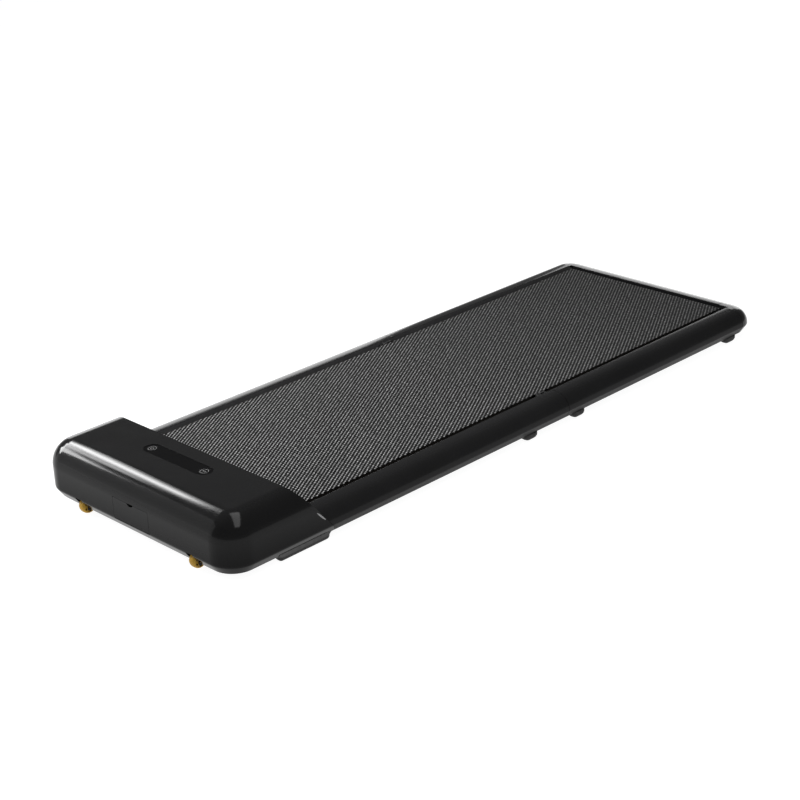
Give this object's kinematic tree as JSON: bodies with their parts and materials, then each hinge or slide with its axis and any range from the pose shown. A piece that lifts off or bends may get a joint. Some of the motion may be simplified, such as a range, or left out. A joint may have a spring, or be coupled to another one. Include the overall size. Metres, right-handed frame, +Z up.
{
  "type": "walking pad",
  "caption": "Low folding under-desk walking pad: motor hood with display strip and keys, belt over boards between rounded side rails, centre fold hinge, feet and transport wheels.",
  "frame": {"origin": "on the floor under the middle of the pad when it lies unfolded", "axes": "+Y from the motor hood to the rear end, +X to the right seen from the hood looking back, +Z up"},
  "size_m": [0.518, 1.45, 0.116],
  "materials": {
    "hood_plastic": "satin gloss black",
    "tail_plastic": "gloss black",
    "rail_anodised": "black anodised, satin",
    "belt_surface": "woven relief",
    "display_black": "gloss",
    "key_plastic": "matt with a light ring",
    "wheel_ochre": "semi-matt ochre",
    "foot_rubber": "matt",
    "frame_paint": "black powder coat",
    "steel": "turned",
    "roller_steel": "black oxide",
    "motor_paint": "satin",
    "alloy": "plain",
    "board_green": "lacquered board",
    "deck_board": "dark waxed board",
    "dark_plastic": "matt",
    "rocker_plastic": "gloss"
  },
  "bodies": {
    "base": {"hood_cover": "hood_plastic", "front_rail_left": "rail_anodised", "front_rail_right": "rail_anodised", "belt_front": "belt_surface", "display_window": "display_black", "front_feet": "foot_rubber", "mid_front_feet": "foot_rubber", "front_deck_cushions": "foot_rubber", "drive_belt": "foot_rubber", "belly_pan": "frame_paint", "bay_tray": "frame_paint", "wheel_brackets": "frame_paint", "front_side_tubes": "frame_paint", "front_cross_tubes": "frame_paint", "motor_bracket": "frame_paint", "front_hinge_brackets": "frame_paint", "tray_screws": "steel", "wheel_axles": "steel", "front_roller_shaft": "roller_steel", "motor_body": "motor_paint", "heat_sink": "alloy", "controller_board": "board_green", "display_module": "board_green", "front_deck": "deck_board", "inlet_panel": "dark_plastic", "power_inlet": "dark_plastic", "switch_housing": "dark_plastic", "front_belly_plate": "dark_plastic"},
    "link": {"hinge_link_left": "frame_paint", "hinge_link_right": "frame_paint", "link_cross_bar": "frame_paint"},
    "rear_frame": {"rear_rail_left": "rail_anodised", "rear_rail_right": "rail_anodised", "rear_side_tubes": "frame_paint", "rear_cross_tubes": "frame_paint", "rear_deck": "deck_board", "rear_deck_cushions": "foot_rubber", "rear_belly_plate": "dark_plastic", "rear_hinge_brackets": "frame_paint", "tail_cover": "tail_plastic", "rear_cap_left": "tail_plastic", "rear_cap_right": "tail_plastic", "rear_roller_shaft": "roller_steel", "tension_bolts": "steel", "mid_rear_feet": "foot_rubber", "rear_feet": "foot_rubber", "belt_rear": "belt_surface"},
    "front_roller": {"front_roller": "roller_steel", "driven_pulley": "alloy", "front_roller_bearings": "roller_steel"},
    "rear_roller": {"rear_roller": "roller_steel", "rear_roller_bearings": "roller_steel"},
    "rotor": {"motor_rotor": "steel"},
    "wheel_left": {"wheel_left": "wheel_ochre"},
    "wheel_right": {"wheel_right": "wheel_ochre"},
    "key_left": {"button_left": "key_plastic"},
    "key_right": {"button_right": "key_plastic"},
    "hatch": {"hatch_flap": "hood_plastic"},
    "rocker": {"power_rocker": "rocker_plastic"}
  },
  "joints": [
    {"name": "fold_front", "type": "hinge", "parent": "base", "child": "link", "pos_m": [0, 0.084, 0.057], "axis": [1, 0, 0], "range_deg": [0, 90], "deforming": ["belt_front", "belt_rear"]},
    {"name": "fold_rear", "type": "hinge", "parent": "link", "child": "rear_frame", "pos_m": [0, 0.1, 0.057], "axis": [1, 0, 0], "range_deg": [0, 90]},
    {"name": "front_roller_spin", "type": "hinge", "parent": "base", "child": "front_roller", "pos_m": [0, -0.59, 0.04], "axis": [1, 0, 0], "continuous": true},
    {"name": "rear_roller_spin", "type": "hinge", "parent": "rear_frame", "child": "rear_roller", "pos_m": [0, 0.668, 0.04], "axis": [1, 0, 0], "continuous": true},
    {"name": "motor_spin", "type": "hinge", "parent": "base", "child": "rotor", "pos_m": [0.2, -0.652, 0.062], "axis": [1, 0, 0], "continuous": true},
    {"name": "wheel_left_spin", "type": "hinge", "parent": "base", "child": "wheel_left", "pos_m": [-0.153, -0.708, 0.0145], "axis": [1, 0, 0], "continuous": true},
    {"name": "wheel_right_spin", "type": "hinge", "parent": "base", "child": "wheel_right", "pos_m": [0.153, -0.708, 0.0145], "axis": [1, 0, 0], "continuous": true},
    {"name": "key_left_press", "type": "slide", "parent": "base", "child": "key_left", "axis": [0, 0, -1], "range_m": [0, 0.0008], "stiffness_N_per_m": 900},
    {"name": "key_right_press", "type": "slide", "parent": "base", "child": "key_right", "axis": [0, 0, -1], "range_m": [0, 0.0008], "stiffness_N_per_m": 900},
    {"name": "hatch_swing", "type": "hinge", "parent": "base", "child": "hatch", "pos_m": [0, -0.7229, 0.0328], "axis": [1, 0, 0], "range_deg": [0, 95]},
    {"name": "rocker_tip", "type": "hinge", "parent": "base", "child": "rocker", "pos_m": [-0.022, -0.694, 0.051], "axis": [1, 0, 0], "range_deg": [-18, 0]}
  ],
  "couplings": [
    {"joint": "fold_front", "follows": "fold_rear", "ratio": 1},
    {"joint": "rear_roller_spin", "follows": "front_roller_spin", "ratio": 1},
    {"joint": "motor_spin", "follows": "front_roller_spin", "ratio": 2.6667}
  ]
}
